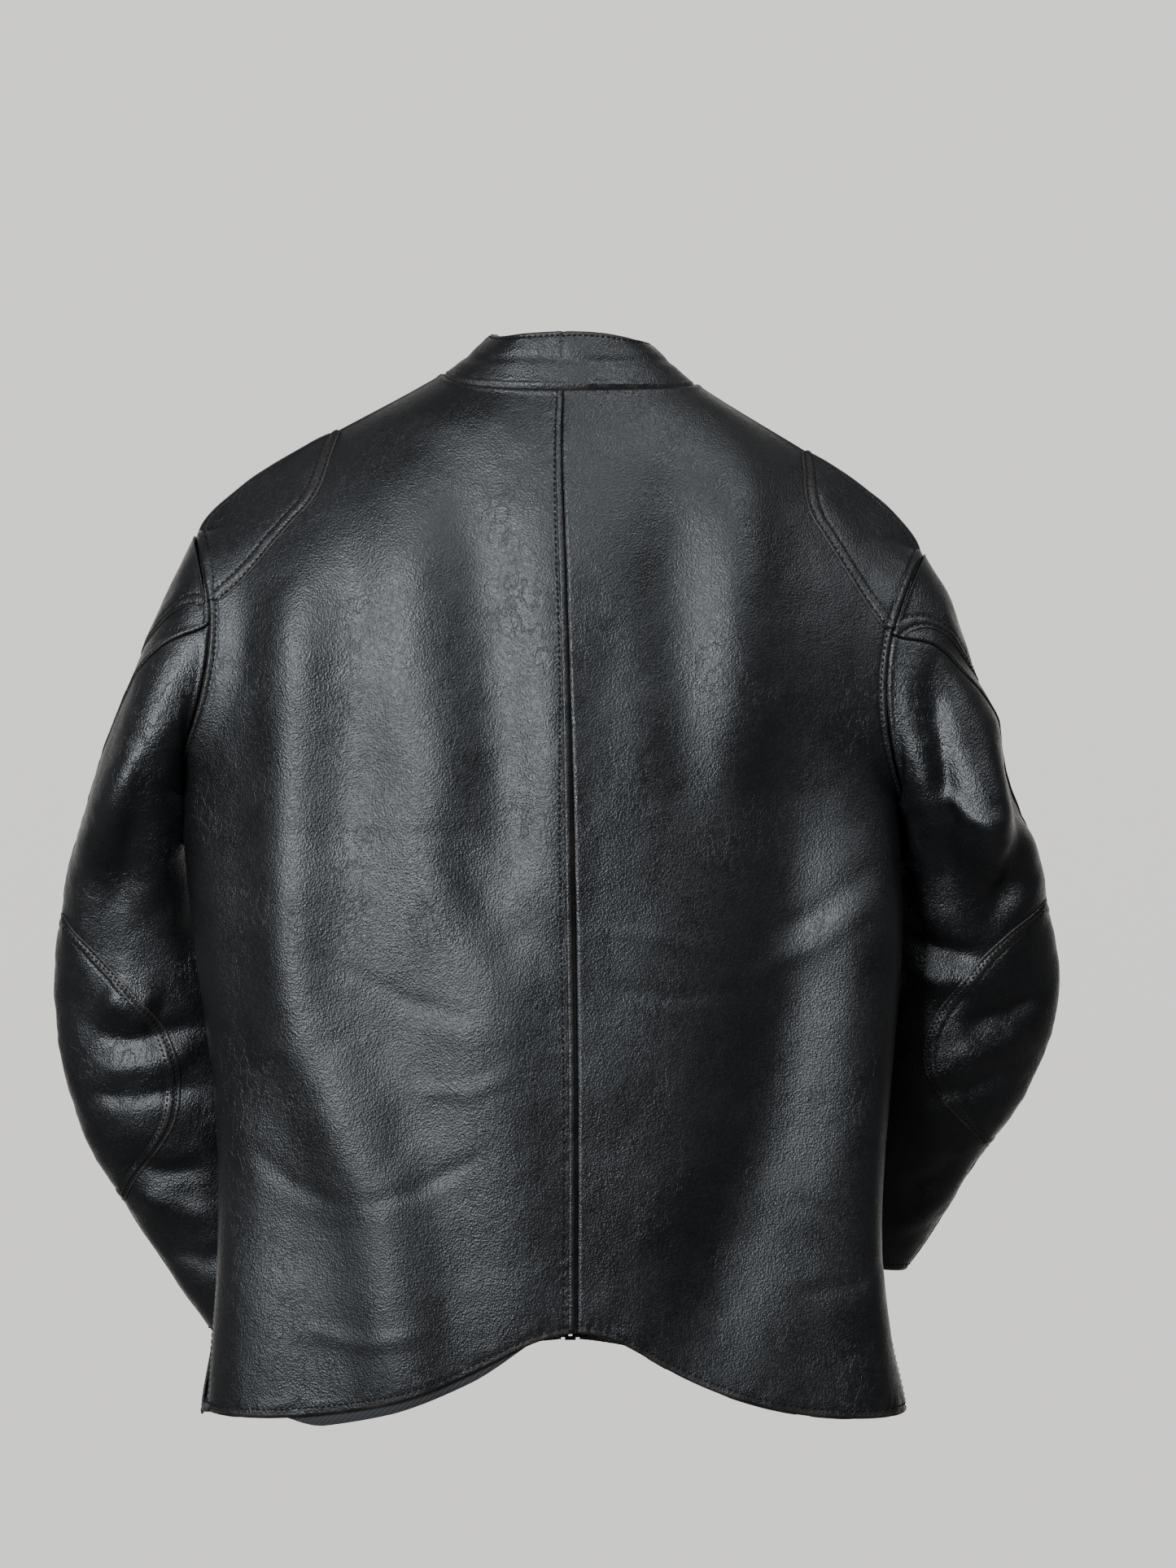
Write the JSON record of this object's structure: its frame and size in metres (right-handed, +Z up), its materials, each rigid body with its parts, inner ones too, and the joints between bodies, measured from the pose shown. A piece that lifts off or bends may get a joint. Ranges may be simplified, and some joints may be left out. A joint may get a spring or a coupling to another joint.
{
  "type": "leather riding jacket",
  "caption": "Black leather riding jacket with a band collar, zipped front and pockets, shoulder and elbow patches and an arched back hem, hung up by its neck.",
  "frame": {"origin": "middle of the neck at the height of the back collar seam, where a hanger carries the jacket", "axes": "+Z up, front of the jacket towards -Y, the wearer's left towards +X"},
  "size_m": [0.7652, 0.2204, 0.8129],
  "materials": {
    "leather_black": "semi-gloss pebbled leather, worn lighter along seams and edges",
    "lining_twill": "dark grey twill, matt",
    "pocket_cotton": "matt cotton",
    "zip_tape": "woven tape",
    "zip_metal": "worn nickel-coloured metal",
    "label_cloth": "plain woven label, blank"
  },
  "bodies": {
    "body": {"back_panel_left": "leather_black", "back_panel_right": "leather_black", "centre_back_welt": "leather_black", "front_panel_left": "leather_black", "front_panel_right": "leather_black", "shoulder_patch_left": "leather_black", "shoulder_patch_right": "leather_black", "cap_patch_left": "leather_black", "cap_patch_right": "leather_black", "sleeve_top_head_left": "leather_black", "sleeve_top_head_right": "leather_black", "sleeve_under_head_left": "leather_black", "sleeve_under_head_right": "leather_black", "sleeve_lining_head_left": "lining_twill", "sleeve_lining_head_right": "lining_twill", "lining_back": "lining_twill", "lining_front_left": "lining_twill", "lining_front_right": "lining_twill", "front_facing_left": "leather_black", "front_facing_right": "leather_black", "collar": "leather_black", "collar_lining": "leather_black", "hang_loop": "leather_black", "label": "label_cloth", "zip_teeth_left": "zip_metal", "zip_teeth_right": "zip_metal", "zip_tape_left": "zip_tape", "zip_tape_right": "zip_tape", "zip_bottom_box": "zip_metal", "chest_pocket_zip": "zip_tape", "chest_pocket_welt": "leather_black", "chest_pocket_bag": "pocket_cotton", "hand_pocket_left_zip": "zip_tape", "hand_pocket_left_welt": "leather_black", "hand_pocket_left_bag": "pocket_cotton", "hand_pocket_right_zip": "zip_tape", "hand_pocket_right_welt": "leather_black", "hand_pocket_right_bag": "pocket_cotton"},
    "arm_left": {"sleeve_top_left": "leather_black", "sleeve_under_left": "leather_black", "sleeve_lining_left": "lining_twill", "cuff_facing_left": "leather_black", "elbow_patch_left": "leather_black"},
    "arm_right": {"sleeve_top_right": "leather_black", "sleeve_under_right": "leather_black", "sleeve_lining_right": "lining_twill", "cuff_facing_right": "leather_black", "elbow_patch_right": "leather_black"},
    "zip_slider": {"zip_slider": "zip_metal"},
    "zip_pull": {"zip_pull": "zip_metal"},
    "collar_tab": {"collar_tab": "leather_black", "snap_cap": "zip_metal"},
    "chest_pocket_slider": {"chest_pocket_slider": "zip_metal"},
    "chest_pocket_pull": {"chest_pocket_pull": "zip_metal"},
    "hand_pocket_left_slider": {"hand_pocket_left_slider": "zip_metal"},
    "hand_pocket_left_pull": {"hand_pocket_left_pull": "zip_metal"},
    "hand_pocket_right_slider": {"hand_pocket_right_slider": "zip_metal"},
    "hand_pocket_right_pull": {"hand_pocket_right_pull": "zip_metal"}
  },
  "joints": [
    {"name": "sleeve_left_swing", "type": "hinge", "parent": "body", "child": "arm_left", "pos_m": [0.324, -0.0762, -0.309], "axis": [-1, 0, 0], "range_deg": [0, 45]},
    {"name": "sleeve_right_swing", "type": "hinge", "parent": "body", "child": "arm_right", "pos_m": [-0.295, -0.0762, -0.329], "axis": [-1, 0, 0], "range_deg": [0, 45]},
    {"name": "zip_slide", "type": "slide", "parent": "body", "child": "zip_slider", "axis": [0, 0, -1], "range_m": [0, 0.636]},
    {"name": "zip_pull_swing", "type": "hinge", "parent": "zip_slider", "child": "zip_pull", "pos_m": [0, -0.08, -0.0735], "axis": [-1, 0, 0], "range_deg": [0, 150]},
    {"name": "collar_tab_open", "type": "hinge", "parent": "body", "child": "collar_tab", "pos_m": [-0.0325, -0.0722, -0.0529], "axis": [0, -0.26, -0.9656], "range_deg": [0, 110]},
    {"name": "chest_pocket_slide", "type": "slide", "parent": "body", "child": "chest_pocket_slider", "axis": [0.3553, 0.0896, -0.9304], "range_m": [0, 0.104]},
    {"name": "chest_pocket_pull_swing", "type": "hinge", "parent": "chest_pocket_slider", "child": "chest_pocket_pull", "pos_m": [0.12173, -0.08024, -0.23455], "axis": [-0.9253, -0.1071, -0.3637], "range_deg": [0, 150]},
    {"name": "hand_pocket_left_slide", "type": "slide", "parent": "body", "child": "hand_pocket_left_slider", "axis": [0.1985, 0.0398, -0.9793], "range_m": [0, 0.124]},
    {"name": "hand_pocket_left_pull_swing", "type": "hinge", "parent": "hand_pocket_left_slider", "child": "hand_pocket_left_pull", "pos_m": [0.13076, -0.07463, -0.52571], "axis": [-0.9632, -0.1771, -0.2024], "range_deg": [0, 150]},
    {"name": "hand_pocket_right_slide", "type": "slide", "parent": "body", "child": "hand_pocket_right_slider", "axis": [-0.1973, 0.047, -0.9792], "range_m": [0, 0.124]},
    {"name": "hand_pocket_right_pull_swing", "type": "hinge", "parent": "hand_pocket_right_slider", "child": "hand_pocket_right_pull", "pos_m": [-0.11596, -0.07441, -0.52824], "axis": [-0.9564, 0.2101, 0.2028], "range_deg": [0, 150]}
  ]
}
